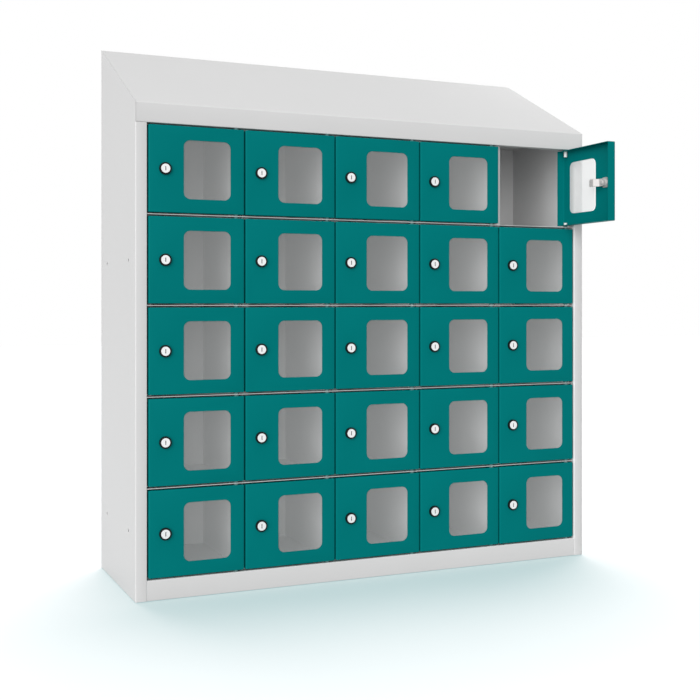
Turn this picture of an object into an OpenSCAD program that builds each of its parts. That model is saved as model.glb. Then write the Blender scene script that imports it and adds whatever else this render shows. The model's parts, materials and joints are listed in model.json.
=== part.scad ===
// Wall-hung steel locker for mobile phones: a folded sheet carcass with a sloped top,
// and a field of small windowed doors, each on two pins and with its own cam lock.
// x runs left to right, y runs from the door faces to the wall, z is up.
// The origin is the centre of the four wall bolts, on the wall.

/* [Door field] */
// Number of compartments in a column
rows = 5; // [1:1:5]
// Number of compartments in a row
columns = 5; // [1:1:5]
// Width of one door
door_w = 178; // [166:1:230]
// Height of one door
door_h = 156; // [140:1:220]
// Depth of the folded door, front face to rim
door_depth = 17; // [15:0.5:20]
// Gap between a door and what is beside, above or below it
door_gap = 3; // [2.5:0.5:5]
// Radius of the corners of a door's face
door_corner_r = 2; // [1.5:0.5:4]
// Row of the door that stands open, counted from the top
open_row = 1; // [1:1:5]
// Column of the door that stands open, counted from the left
open_column = 5; // [1:1:5]
// How far that door stands open, in degrees
open_angle = 89; // [0:1:110]

/* [Carcass] */
// Thickness of the sheet steel
sheet = 1; // [0.8:0.1:1.2]
// Depth of the cabinet, door faces to wall
cabinet_d = 295; // [250:5:340]
// Rise of the sloped top from front to back
top_rise = 150; // [100:5:200]
// Width of the strips that frame the door field on its left and right
strip_w = 21; // [18:1:30]
// Height of the rail below the doors
base_rail_h = 36.5; // [30:0.5:60]
// Height of the fascia above the doors
fascia_h = 35.5; // [28:0.5:60]
// Distance from the wall to the back panel
back_setback = 25; // [20:1:35]
// Width of the flange turned in at the back of each side panel
side_flange_w = 20; // [14:1:24]
// Height of the flange turned down at the back of the sloped top
top_flange_h = 26; // [15:1:40]
// Depth of the flange turned in below the rail
base_flange_d = 20; // [12:1:30]
// How far a strike lip reaches behind the lock edge of a door
strike_overlap = 8; // [6:1:13]
// Width of the weld flange at the back of a divider
divider_flange_w = 12; // [8:1:20]

/* [Windows] */
// Width of a window
window_w = 88; // [60:1:90]
// Height of a window
window_h = 106; // [80:1:112]
// Corner radius of a window
window_r = 12; // [6:1:20]
// Distance from the hinge edge of a door to its window
window_margin = 26; // [24:1:34]
// Thickness of the window pane
pane_t = 2; // [1.5:0.5:3]
// How far the pane reaches past the window on every side
pane_overlap = 7; // [5:1:8]
// Corner radius of the pane
pane_r = 3; // [1:1:6]

/* [Hinges] */
// Distance from the hinge edge of a door to its pin axis
pin_inset = 14; // [12:0.5:16]
// Distance from the door faces back to the pin axis
pin_setback = 6; // [6:0.5:7]
// Radius of a hinge pin
pin_r = 2.5; // [2:0.1:2.8]
// Radius of a bush where it passes through a door flange
bush_r = 3.5; // [3.4:0.1:4]
// Radius of a bush's collar, which keeps the door off the sheet
bush_collar_r = 4.3; // [4.2:0.1:5.5]
// Length of the upper bush inside the door
upper_bush_l = 12; // [8:1:14]
// Length of the lower bush inside the door
lower_bush_l = 6; // [4:1:10]
// Length of a pin past the sheet that carries it, where no door is
pin_stub = 2; // [1:0.5:4]

/* [Locks] */
// Distance from the lock edge of a door to the lock's axis
lock_inset = 29.5; // [29:0.5:34]
// Radius of the black collar
collar_r = 11; // [10:0.5:12.5]
// How far the collar stands out from the door
collar_proud = 5; // [4:0.5:7]
// Radius of the barrel behind the collar
barrel_r = 8; // [7.6:0.1:8.6]
// Length of the barrel, front face of the door to the cam
barrel_l = 8.4; // [7.5:0.1:9]
// Radius of the plug's face
plug_face_r = 8.2; // [7:0.1:8.5]
// Thickness of the plug's face
plug_face_t = 2.4; // [2:0.1:3]
// How far the plug's face stands out from the collar
plug_proud = 0.4; // [0.2:0.1:1]
// Radius of the plug inside the barrel
plug_r = 6; // [5:0.1:6.5]
// Width of the key slot
key_slot_w = 1.6; // [1:0.1:2.4]
// Height of the key slot
key_slot_h = 8; // [6:0.5:10]
// Depth of the key slot
key_slot_d = 6; // [3:0.5:7]
// Width across the flats of the lock nut
nut_af = 20; // [19.5:0.5:24]
// Thickness of the lock nut
nut_t = 3.5; // [3:0.5:5]
// Thickness of the cam
cam_t = 2; // [1.5:0.1:2.5]
// Width of the cam
cam_w = 15; // [12:0.5:17]
// Reach of the cam from the lock's axis
cam_reach = 28; // [26:0.5:28]
// Distance from the lock's axis to the start of the cam's crank
crank_start = 11; // [9:0.5:12]
// Distance from the lock's axis to the end of the cam's crank
crank_end = 16; // [15:0.5:17]
// Radius of the cam screw's head
screw_head_r = 4.4; // [4:0.1:5]
// Height of the cam screw's head
screw_head_h = 2.5; // [2:0.1:3]
// Radius of the cam screw's shank
screw_r = 2.5; // [2:0.1:2.8]
// Length of the cam screw's shank in the plug
screw_l = 5; // [4:0.5:5]

/* [Fixings] */
// Radius of a wall bolt hole, in the back panel and in the rail behind it
wall_hole_r = 4.5; // [3:0.25:6]
// Height of the face of a wall rail
rail_face_h = 40; // [32:1:60]
// Height of a wall rail's foot on the back panel
rail_foot_h = 14; // [10:1:20]
// Thickness of a wall rail
rail_t = 1.5; // [1:0.1:3]
// Radius of the holes that join cabinets side by side
join_hole_r = 3.25; // [2:0.25:5]
// Distance from the front to the nearer of those holes
join_front_y = 54.5; // [45:0.5:80]
// Distance from the wall to the nearer of those holes
join_wall_y = 56.5; // [45:0.5:80]

/* [Fits] */
// Radial clearance of a pin, plug or screw in its hole
run_fit = 0.05; // [0.02:0.01:0.1]
// Clearance between pieces that are screwed, glued or pressed together
seat_gap = 0.05; // [0.02:0.01:0.1]
// Clearance at the seams of the carcass
seam = 0.3; // [0.2:0.1:0.5]
// Clearance between a closed door's rim and the strike lip
rim_gap = 0.4; // [0.3:0.1:0.8]
// Clearance between the strike lip and the cam behind it
cam_gap = 0.5; // [0.3:0.1:0.8]
// Clearance between a bush's collar and the sheet it faces
collar_gap = 0.3; // [0.2:0.1:0.5]

/* [Hidden] */
$fn = 48;

// The carcass follows from the doors that it frames
cabinet_w = 2 * strip_w + columns * door_w + (columns + 1) * door_gap;
row_pitch = door_h + 2 * door_gap + sheet;
column_pitch = door_w + door_gap;
fascia_z = base_rail_h + rows * row_pitch - sheet;
front_h = fascia_z + fascia_h;
slope_angle = atan(top_rise / cabinet_d);
slope_drop = sheet / cos(slope_angle);
ceiling_z = front_h - slope_drop - sheet;
back_y = cabinet_d - back_setback - sheet;

// The strike lip lies behind the rim, and the cam behind the lip
strike_y = door_depth + rim_gap;
return_d = strike_y + sheet;
cam_tip_y = return_d + cam_gap;

// The wall bolts stand in the middle of the four corner compartments
hang_spacing_x = (columns - 1) * column_pitch;
hang_spacing_z = (rows - 1) * row_pitch;
hang_z = base_rail_h + door_gap + door_h / 2 + hang_spacing_z / 2;

steel_grey = [0.83, 0.83, 0.83];
door_teal = [0, 0.45, 0.45];
zinc = [0.80, 0.82, 0.83];
nylon = [0.93, 0.94, 0.94];
lock_black = [0.07, 0.07, 0.08];
pane_clear = [0.85, 0.93, 0.95, 0.35];

function door_x(c) = strip_w + door_gap + (c - 1) * column_pitch;
function door_z(r) = base_rail_h + door_gap + (rows - r) * row_pitch;
function is_open(r, c) = r == open_row && c == open_column;

// Middle of the gap to the right of column c
function gap_x(c) = door_x(c) + door_w + door_gap / 2;

// Underside of the sheet above row k + 1: 0 is the soffit, rows is the floor
function sheet_z(k) = k == 0 ? fascia_z
    : k == rows ? base_rail_h - sheet
    : door_z(k) - door_gap - sheet;

function floor_z(r) = sheet_z(r) + sheet;
function roof_z(r) = r == 1 ? ceiling_z : sheet_z(r - 1);

function door_name(r, c) = str("door_r", r, "c", c);
function lock_name(r, c) = str("lock_r", r, "c", c);

// Moves the cabinet from its lower left front corner to the wall bolts
module hung() {
    translate([-cabinet_w / 2, -cabinet_d, -hang_z])
        children();
}

// Extrudes a side profile, given as y and z, along x
module along_x(x0, x1) {
    translate([x0, 0, 0])
        rotate([90, 0, 90])
            linear_extrude(x1 - x0)
                children();
}

// Extrudes a front outline, given as x and z, along y
module along_y(y0, y1) {
    translate([0, y1, 0])
        rotate([90, 0, 0])
            linear_extrude(y1 - y0)
                children();
}

// A box given by its two corners
module block(low, high) {
    translate(low)
        cube(high - low);
}

module rounded(w, h, r) {
    translate([r, 0])
        square([w - 2 * r, h]);
    translate([0, r])
        square([w, h - 2 * r]);
    for (x = [r, w - r], y = [r, h - r])
        translate([x, y])
            circle(r);
}

// A cylinder along y about the point given
module round_y(x, z, r, y0, y1) {
    along_y(y0, y1)
        translate([x, z])
            circle(r);
}

// The holes in a sheet that the hinge pins pass through
module pin_holes(z0) {
    for (c = [1 : columns])
        translate([door_x(c) + door_w - pin_inset, pin_setback, z0 - sheet])
            cylinder(r = pin_r + run_fit, h = 3 * sheet);
}

// A side panel as it stands on the left: its web, the strip beside the doors,
// the return behind the strip and the flange at the wall
module side_panel(with_strike) {
    strike_w = door_gap + strike_overlap;
    difference() {
        union() {
            along_x(0, sheet)
                polygon([
                    [0, 0],
                    [cabinet_d, 0],
                    [cabinet_d, front_h + top_rise],
                    [0, front_h]
                ]);
            block([0, 0, 0], [strip_w, sheet, fascia_z - seam]);
            block([strip_w - sheet, 0, 0], [strip_w, return_d, fascia_z - seam]);
            block([0, cabinet_d - sheet, 0],
                [sheet + side_flange_w, cabinet_d, front_h + top_rise - top_flange_h - seam]);
            if (with_strike)
                for (r = [1 : rows])
                    block([strip_w - sheet, strike_y, floor_z(r) + seam],
                        [strip_w + strike_w, return_d, door_z(r) + door_h]);
        }
        for (y = [join_front_y, cabinet_d - join_wall_y], r = [min(2, rows), rows])
            translate([-sheet, y, door_z(r) + door_h / 2])
                rotate([0, 90, 0])
                    cylinder(r = join_hole_r, h = 3 * sheet);
    }
}

module left_side_panel() {
    color(steel_grey)
        side_panel(true);
}

module right_side_panel() {
    color(steel_grey)
        translate([cabinet_w, 0, 0])
            mirror([1, 0, 0])
                side_panel(false);
}

module back_panel() {
    color(steel_grey)
        difference() {
            block([sheet, back_y, 0],
                [cabinet_w - sheet, back_y + sheet, front_h + back_y * tan(slope_angle) - slope_drop - seam]);
            wall_bolt_places()
                round_y(0, 0, wall_hole_r, back_y - sheet, back_y + 2 * sheet);
        }
}

module wall_bolt_places() {
    for (x = [-1, 1], z = [-1, 1])
        translate([cabinet_w / 2 + x * hang_spacing_x / 2, 0, hang_z + z * hang_spacing_z / 2])
            children();
}

// Plan of a level sheet: full width behind the returns, narrower between them
module level_sheet(z, front_y) {
    translate([0, 0, z])
        linear_extrude(sheet) {
            translate([strip_w, front_y])
                square([cabinet_w - 2 * strip_w, return_d + seam - front_y]);
            translate([sheet, return_d + seam])
                square([cabinet_w - 2 * sheet, back_y - return_d - seam]);
        }
}

// The floor of the lowest row, with the rail folded down in front of it
module base_panel() {
    color(steel_grey)
        difference() {
            union() {
                level_sheet(sheet_z(rows), 0);
                block([strip_w, 0, 0], [cabinet_w - strip_w, sheet, base_rail_h]);
                block([strip_w, 0, 0], [cabinet_w - strip_w, base_flange_d, sheet]);
                block([sheet, back_y - sheet, 0], [cabinet_w - sheet, back_y, base_rail_h]);
            }
            pin_holes(sheet_z(rows));
        }
}

module ceiling_panel() {
    color(steel_grey)
        block([sheet, sheet + seam, ceiling_z], [cabinet_w - sheet, back_y, ceiling_z + sheet]);
}

// Soffit, fascia, slope and rear flange are one folded sheet
module top_cover() {
    inner_front = front_h + sheet * tan(slope_angle) - slope_drop;
    inner_back = front_h + (cabinet_d - sheet) * tan(slope_angle) - slope_drop;
    flange_z = front_h + top_rise - top_flange_h;
    color(steel_grey)
        difference() {
            along_x(sheet + seam, cabinet_w - sheet - seam)
                polygon([
                    [0, fascia_z],
                    [door_depth, fascia_z],
                    [door_depth, fascia_z + sheet],
                    [sheet, fascia_z + sheet],
                    [sheet, inner_front],
                    [cabinet_d - sheet, inner_back],
                    [cabinet_d - sheet, flange_z],
                    [cabinet_d, flange_z],
                    [cabinet_d, front_h + top_rise],
                    [0, front_h]
                ]);
            pin_holes(fascia_z);
        }
}

module shelves() {
    color(steel_grey)
        for (r = [1 : 1 : rows - 1])
            difference() {
                level_sheet(sheet_z(r), sheet);
                pin_holes(sheet_z(r));
            }
}

// One divider for each row: a web, the strike lip for the next door's cam
// and a weld flange on the back panel
module dividers() {
    color(steel_grey)
        for (r = [1 : rows], c = [1 : 1 : columns - 1])
            translate([gap_x(c), 0, floor_z(r)]) {
                height = roof_z(r) - floor_z(r);
                block([-sheet / 2, strike_y, 0], [sheet / 2, back_y, height]);
                block([-sheet / 2, strike_y, 0],
                    [door_gap / 2 + strike_overlap, return_d, height]);
                block([-sheet / 2, back_y - sheet, 0],
                    [sheet / 2 + divider_flange_w, back_y, height]);
            }
}

// A pin joins the doors above and below the sheet that carries it
module hinge_pins() {
    color(zinc)
        for (c = [1 : columns], k = [0 : rows]) {
            below = k == rows ? pin_stub : door_gap + upper_bush_l;
            above = k == 0 ? pin_stub : door_gap + lower_bush_l;
            translate([door_x(c) + door_w - pin_inset, pin_setback, sheet_z(k) - below])
                cylinder(r = pin_r, h = below + sheet + above);
        }
}

// Two hat channels stiffen the back panel and take the wall bolts
module wall_rails() {
    half = rail_face_h / 2;
    foot_y = back_y + sheet;
    color(zinc)
        difference() {
            for (z = [-1, 1])
                translate([0, 0, hang_z + z * hang_spacing_z / 2])
                    along_x(sheet + side_flange_w + seam, cabinet_w - sheet - side_flange_w - seam)
                        polygon([
                            [foot_y, -half - rail_foot_h],
                            [foot_y + rail_t, -half - rail_foot_h],
                            [foot_y + rail_t, -half],
                            [cabinet_d, -half],
                            [cabinet_d, half],
                            [foot_y + rail_t, half],
                            [foot_y + rail_t, half + rail_foot_h],
                            [foot_y, half + rail_foot_h],
                            [foot_y, half - rail_t],
                            [cabinet_d - rail_t, half - rail_t],
                            [cabinet_d - rail_t, rail_t - half],
                            [foot_y, rail_t - half]
                        ]);
            wall_bolt_places()
                round_y(0, 0, wall_hole_r, cabinet_d - 2 * rail_t, cabinet_d + rail_t);
        }
}

// Puts a closed door's pieces where the door at row r and column c hangs.
// Their origin is on the pin axis, level with the door's lower edge.
module at_door(r, c) {
    translate([door_x(c) + door_w - pin_inset, pin_setback, door_z(r)])
        rotate([0, 0, is_open(r, c) ? open_angle : 0])
            translate([pin_inset - door_w, -pin_setback, 0])
                children();
}

module door_pan() {
    color(door_teal)
        difference() {
            along_y(0, door_depth)
                rounded(door_w, door_h, door_corner_r);
            along_y(sheet, door_depth + sheet)
                translate([sheet, sheet])
                    rounded(door_w - 2 * sheet, door_h - 2 * sheet, door_corner_r - sheet);
            along_y(-sheet, 2 * sheet)
                translate([door_w - window_margin - window_w, (door_h - window_h) / 2])
                    rounded(window_w, window_h, window_r);
            round_y(lock_inset, door_h / 2, barrel_r + run_fit, -sheet, 2 * sheet);
            translate([door_w - pin_inset, pin_setback, -sheet])
                cylinder(r = bush_r + run_fit, h = door_h + 2 * sheet);
        }
}

module window_pane() {
    color(pane_clear)
        along_y(sheet + seat_gap, sheet + seat_gap + pane_t)
            translate([
                door_w - window_margin - window_w - pane_overlap,
                (door_h - window_h) / 2 - pane_overlap
            ])
                rounded(window_w + 2 * pane_overlap, window_h + 2 * pane_overlap, pane_r);
}

// A bush points up from its collar's outer face, where the carrying sheet is
module hinge_bush(sleeve) {
    collar_h = door_gap - collar_gap - seat_gap;
    color(nylon)
        difference() {
            union() {
                cylinder(r = bush_collar_r, h = collar_h);
                cylinder(r = bush_r, h = collar_h + seat_gap + sleeve);
            }
            translate([0, 0, -sheet])
                cylinder(r = pin_r + run_fit, h = door_gap + sleeve + 2 * sheet);
        }
}

// The fixed half of the lock: collar and barrel in one casting
module lock_housing() {
    color(lock_black)
        difference() {
            union() {
                round_y(lock_inset, door_h / 2, collar_r, -collar_proud, -seat_gap);
                round_y(lock_inset, door_h / 2, barrel_r, -collar_proud, barrel_l);
            }
            round_y(lock_inset, door_h / 2, plug_r + run_fit, -2 * collar_proud, 2 * barrel_l);
            round_y(lock_inset, door_h / 2, plug_face_r + run_fit,
                -2 * collar_proud, plug_face_t - plug_proud - collar_proud + run_fit);
        }
}

module lock_nut() {
    color(zinc)
        along_y(sheet + seat_gap, sheet + seat_gap + nut_t)
            translate([lock_inset, door_h / 2])
                difference() {
                    circle(r = nut_af / sqrt(3), $fn = 6);
                    circle(barrel_r + run_fit);
                }
}

// A door with what is fixed to it: pan, pane, both bushes and the lock's housing
module door(r, c) {
    pin_x = door_w - pin_inset;
    at_door(r, c) {
        door_pan();
        window_pane();
        translate([pin_x, pin_setback, collar_gap - door_gap])
            hinge_bush(lower_bush_l);
        translate([pin_x, pin_setback, door_h + door_gap - collar_gap])
            mirror([0, 0, 1])
                hinge_bush(upper_bush_l);
        lock_housing();
        lock_nut();
    }
}

module lock_plug() {
    face_y = -collar_proud - plug_proud;
    color(zinc)
        difference() {
            union() {
                round_y(lock_inset, door_h / 2, plug_face_r, face_y, face_y + plug_face_t);
                round_y(lock_inset, door_h / 2, plug_r, face_y, barrel_l + run_fit);
            }
            block([lock_inset - key_slot_w / 2, face_y - plug_proud, (door_h - key_slot_h) / 2],
                [lock_inset + key_slot_w / 2, face_y + key_slot_d, (door_h + key_slot_h) / 2]);
            round_y(lock_inset, door_h / 2, screw_r + run_fit, barrel_l - screw_l - run_fit, barrel_l + cam_t);
        }
}

// The cranked cam: a hub on the plug's end and a tip that passes behind the strike lip
module lock_cam() {
    hub_y = barrel_l + run_fit + seat_gap;
    color(zinc)
        translate([lock_inset, 0, door_h / 2])
            difference() {
                intersection() {
                    translate([0, 0, -cam_w / 2])
                        linear_extrude(cam_w)
                            polygon([
                                [-cam_w / 2, hub_y],
                                [crank_start, hub_y],
                                [crank_end, cam_tip_y],
                                [cam_reach, cam_tip_y],
                                [cam_reach, cam_tip_y + cam_t],
                                [crank_end - cam_t / 2, cam_tip_y + cam_t],
                                [crank_start - cam_t / 2, hub_y + cam_t],
                                [-cam_w / 2, hub_y + cam_t]
                            ]);
                    along_y(0, cam_tip_y + 2 * cam_t) {
                        circle(cam_w / 2);
                        translate([0, -cam_w / 2])
                            square([cam_reach - cam_t, cam_w]);
                        translate([cam_w / 2, -cam_w / 2])
                            rounded(cam_reach - cam_w / 2, cam_w, cam_t);
                    }
                }
                round_y(0, 0, screw_r + run_fit, 0, cam_tip_y);
            }
}

module cam_screw() {
    cam_y = barrel_l + run_fit + seat_gap + cam_t;
    color(zinc) {
        round_y(lock_inset, door_h / 2, screw_head_r, cam_y + seat_gap, cam_y + seat_gap + screw_head_h);
        round_y(lock_inset, door_h / 2, screw_r, barrel_l - screw_l, cam_y + screw_head_h);
    }
}

// What turns with the key, drawn unlocked: the cam points to the window
module lock(r, c) {
    at_door(r, c) {
        lock_plug();
        lock_cam();
        cam_screw();
    }
}

hung() left_side_panel();
hung() right_side_panel();
hung() back_panel();
hung() base_panel();
hung() ceiling_panel();
hung() top_cover();
hung() shelves();
hung() dividers();
hung() hinge_pins();
hung() wall_rails();
for (r = [1 : rows], c = [1 : columns]) {
    hung() door(r, c);
    hung() lock(r, c);
}
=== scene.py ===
import json
import math

import bmesh
import bpy
from bpy.props import FloatProperty, FloatVectorProperty, PointerProperty
from mathutils import Matrix, Vector

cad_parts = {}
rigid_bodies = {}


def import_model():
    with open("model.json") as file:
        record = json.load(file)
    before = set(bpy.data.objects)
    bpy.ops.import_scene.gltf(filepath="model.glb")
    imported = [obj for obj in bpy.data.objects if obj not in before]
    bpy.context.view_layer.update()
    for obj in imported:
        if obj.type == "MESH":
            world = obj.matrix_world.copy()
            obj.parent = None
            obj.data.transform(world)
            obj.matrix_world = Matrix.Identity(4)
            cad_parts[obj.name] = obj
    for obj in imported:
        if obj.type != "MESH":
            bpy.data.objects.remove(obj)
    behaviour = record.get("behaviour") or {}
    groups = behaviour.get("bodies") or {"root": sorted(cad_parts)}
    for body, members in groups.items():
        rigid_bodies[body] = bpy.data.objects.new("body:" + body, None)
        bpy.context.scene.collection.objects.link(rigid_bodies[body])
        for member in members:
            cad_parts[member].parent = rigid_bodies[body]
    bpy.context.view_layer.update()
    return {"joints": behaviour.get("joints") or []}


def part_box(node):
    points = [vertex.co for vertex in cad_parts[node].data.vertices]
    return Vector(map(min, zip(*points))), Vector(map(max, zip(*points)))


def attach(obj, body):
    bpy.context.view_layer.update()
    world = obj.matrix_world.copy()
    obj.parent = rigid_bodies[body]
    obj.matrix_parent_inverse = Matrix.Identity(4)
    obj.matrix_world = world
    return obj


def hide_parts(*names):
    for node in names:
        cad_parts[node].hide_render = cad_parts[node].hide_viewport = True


bl_info = {
    "name": "Phone Locker",
    "version": (1, 0, 0),
    "blender": (4, 5, 0),
    "location": "3D View > Sidebar > Locker",
    "description": "Builds a wall-hung phone locker of folded steel, with windowed doors and cam locks",
    "category": "Object",
}

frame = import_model()

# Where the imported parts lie, in metres. Doors and locks are found through their joints.
MM = 0.001
HINGES = {j["child"]: j for j in frame["joints"] if j["child"].startswith("door_")}
TURNS = {j["child"]: j for j in frame["joints"] if j["child"].startswith("lock_")}
PIN_XS = sorted({round(j["pos_m"][0], 6) for j in HINGES.values()})
ROW_ZS = sorted({round(j["pos_m"][2], 6) for j in HINGES.values()})
PIN_Y = HINGES["door_r1c1"]["pos_m"][1]
LEFT, FRONT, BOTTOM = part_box("left_side_panel")[0]
RIGHT, WALL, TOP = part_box("right_side_panel")[1]
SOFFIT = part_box("top_cover")[0].z
SOFFIT_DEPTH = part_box("door_r1c1")[1].y - FRONT
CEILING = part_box("ceiling_panel")[0].z
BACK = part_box("back_panel")[0].y
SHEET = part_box("ceiling_panel")[1].z - CEILING
DOOR_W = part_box("door_r1c1")[1].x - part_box("door_r1c1")[0].x
HINGE_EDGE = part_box("door_r1c1")[1].x - PIN_XS[0]
LOCK_EDGE = HINGE_EDGE - DOOR_W
GAP = PIN_XS[1] - PIN_XS[0] - DOOR_W
ROW_PITCH = ROW_ZS[1] - ROW_ZS[0]
DOOR_H = ROW_PITCH - 2 * GAP - SHEET
STRIP_W = PIN_XS[0] + LOCK_EDGE - GAP - LEFT
FACE = FRONT - PIN_Y
LOCK_X = TURNS["lock_r1c1"]["pos_m"][0] - PIN_XS[0]
STRIKE_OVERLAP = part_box("dividers")[1].x - PIN_XS[-1] - LOCK_EDGE

# Upper sides of the level sheets and undersides of those above them, from the lowest row up
FLOORS = [z - DOOR_H / 2 - GAP for z in ROW_ZS]
ROOFS = [z - SHEET for z in FLOORS[1:]] + [CEILING]
WALL_BOLT_XS = [PIN_XS[k] + LOCK_EDGE + DOOR_W / 2 for k in (0, -1)]
WALL_BOLT_ZS = [ROW_ZS[0], ROW_ZS[-1]]

X, Y, Z = Vector((1, 0, 0)), Vector((0, 1, 0)), Vector((0, 0, 1))


def length(name, description, default):
    """A size that the sidebar shows as a length."""
    return FloatProperty(
        name=name, description=description, default=default, min=0.0, unit="LENGTH", precision=5
    )


def strength(name, description, default):
    """The strength of a light."""
    return FloatProperty(name=name, description=description, default=default, min=0.0)


def colour(name, description, default):
    """A colour that the sidebar shows as a swatch."""
    return FloatVectorProperty(
        name=name, description=description, default=default, size=3, min=0.0, max=1.0, subtype="COLOR"
    )


class CarcassSettings(bpy.types.PropertyGroup):
    fold_radius: length("Fold radius", "Outside radius of a fold", 1.6 * MM)
    cut_radius: length("Cut edge", "Radius that the paint leaves on a cut edge", 0.15 * MM)
    seam: length("Seam", "Clearance where two panels meet", 0.3 * MM)
    strike_depth: length("Strike depth", "Front of the cabinet to the strike lips", 17.4 * MM)
    strike_overlap: length("Strike overlap", "How far a strike lip reaches behind a door", STRIKE_OVERLAP)
    top_rise: length("Rise of the top", "Height that the slope gains from front to wall", 150 * MM)
    top_flange: length("Top flange", "Height of the flange behind the slope", 26 * MM)
    base_flange: length("Base flange", "Depth of the flange below the front rail", 20 * MM)
    side_flange: length("Side flange", "Width of a side panel's flange at the wall", 21 * MM)
    divider_flange: length("Divider flange", "Width of a divider's weld flange", 12 * MM)
    pin_hole: length("Pin hole", "Radius of the holes for the hinge pins", 2.55 * MM)
    bolt_hole: length("Wall bolt hole", "Radius of the wall bolt holes", 4.5 * MM)
    join_hole: length("Joining hole", "Radius of the holes between cabinets", 3.25 * MM)
    join_front: length("Joining hole, front", "Front to the nearer joining holes", 54.5 * MM)
    join_rear: length("Joining hole, rear", "Wall to the nearer joining holes", 56.5 * MM)


class RailSettings(bpy.types.PropertyGroup):
    sheet: length("Rail sheet", "Thickness of a wall rail", 1.5 * MM)
    face: length("Rail face", "Height of the face on the wall", 40 * MM)
    foot: length("Rail foot", "Height of a foot on the back panel", 14 * MM)
    fold_radius: length("Rail fold radius", "Outside radius of a rail's folds", 2.5 * MM)


class DoorSettings(bpy.types.PropertyGroup):
    fold_radius: length("Fold radius", "Outside radius of a door's folds and corners", 1.6 * MM)
    window_w: length("Window width", "Width of the window", 88 * MM)
    window_h: length("Window height", "Height of the window", 106 * MM)
    window_r: length("Window corners", "Corner radius of the window", 12 * MM)
    window_margin: length("Window margin", "Hinge edge to the window", 26 * MM)
    pane_t: length("Pane thickness", "Thickness of the clear pane", 2 * MM)
    pane_overlap: length("Pane overlap", "How far the pane reaches past the window", 7 * MM)
    pane_r: length("Pane corners", "Corner radius of the pane", 3 * MM)
    seat: length("Seat clearance", "Clearance between pieces that are fixed together", 0.05 * MM)


class HingeSettings(bpy.types.PropertyGroup):
    pin_r: length("Pin radius", "Radius of a hinge pin", 2.5 * MM)
    pin_stub: length("Pin stub", "Length of a pin beyond the sheet where no door is", 2 * MM)
    fit: length("Running fit", "Radial clearance of a pin in its bush", 0.05 * MM)
    bush_r: length("Bush radius", "Radius of a bush in the door's flange", 3.5 * MM)
    collar_r: length("Bush collar", "Radius of a bush's collar", 4.3 * MM)
    collar_gap: length("Collar clearance", "Collar to the sheet that it faces", 0.3 * MM)
    upper_l: length("Upper bush", "Length of the upper bush inside the door", 12 * MM)
    lower_l: length("Lower bush", "Length of the lower bush inside the door", 6 * MM)


class LockSettings(bpy.types.PropertyGroup):
    collar_r: length("Collar radius", "Radius of the black collar", 11 * MM)
    collar_proud: length("Collar height", "How far the collar stands out", 5 * MM)
    barrel_r: length("Barrel radius", "Radius of the threaded barrel", 8 * MM)
    barrel_l: length("Barrel length", "Door face to the barrel's end", 8.4 * MM)
    thread_pitch: length("Thread pitch", "Pitch of the barrel's thread", 1 * MM)
    face_r: length("Plug face radius", "Radius of the plug's face", 8.2 * MM)
    face_t: length("Plug face thickness", "Thickness of the plug's face", 2.4 * MM)
    face_proud: length("Plug face height", "How far the face stands out of the collar", 0.4 * MM)
    plug_r: length("Plug radius", "Radius of the plug in the barrel", 6 * MM)
    slot_w: length("Key slot width", "Width of the key slot", 1.6 * MM)
    slot_h: length("Key slot height", "Height of the key slot", 8 * MM)
    slot_d: length("Key slot depth", "Depth of the key slot", 6 * MM)
    nut_af: length("Nut across flats", "Width of the nut across its flats", 20 * MM)
    nut_t: length("Nut thickness", "Thickness of the nut", 3.5 * MM)
    cam_t: length("Cam thickness", "Thickness of the cam", 2 * MM)
    cam_w: length("Cam width", "Width of the cam", 15 * MM)
    cam_reach: length("Cam reach", "Lock axis to the cam's tip", 28 * MM)
    cam_tip: length("Cam tip depth", "Door face to the cam's tip", 18.9 * MM)
    cam_fold: length("Cam fold radius", "Outside radius of the cam's cranks", 2.5 * MM)
    crank_start: length("Crank start", "Lock axis to the start of the crank", 11 * MM)
    crank_end: length("Crank end", "Lock axis to the end of the crank", 16 * MM)
    screw_head_r: length("Screw head radius", "Radius of the cam screw's head", 4.4 * MM)
    screw_head_h: length("Screw head height", "Height of the cam screw's head", 2.5 * MM)


class FinishSettings(bpy.types.PropertyGroup):
    carcass: colour("Carcass", "Light grey powder coat", (0.658, 0.658, 0.658))
    door: colour("Doors", "Teal powder coat", (0.0, 0.178, 0.178))
    zinc: colour("Zinc", "Bright zinc plate", (0.80, 0.81, 0.81))
    dull_zinc: colour("Dull zinc", "Zinc plate of cams, nuts and barrels", (0.56, 0.54, 0.53))
    galvanised: colour("Galvanised", "Hot dipped wall rails", (0.52, 0.54, 0.55))
    collar: colour("Lock collar", "Black moulding round the lock", (0.004, 0.006, 0.006))
    nylon: colour("Nylon", "White hinge bushes", (0.84, 0.85, 0.84))
    # The bush collars are coloured dark teal as painted shade, for the shade in the gaps between the rows of
    # doors.
    gap_shade_nylon: colour("Gap shade nylon", "Bush collars, dark teal as painted shade in the row gaps", (0.10, 0.19, 0.19))
    # The inside of the key slot is coloured dark as painted shade in the recess.
    keyway_shade: colour("Keyway shade", "Painted shade inside the key slot", (0.30, 0.25, 0.24))
    # The pane colours are painted reflections: a pale veil on the window that the camera sees and light
    # passes.
    pane: colour("Pane", "Painted reflection on the front of a window", (0.92, 0.95, 0.95))
    pane_inside_reflection: colour("Pane, inside", "Painted reflection on the back of a window", (1.0, 1.0, 1.0))


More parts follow.
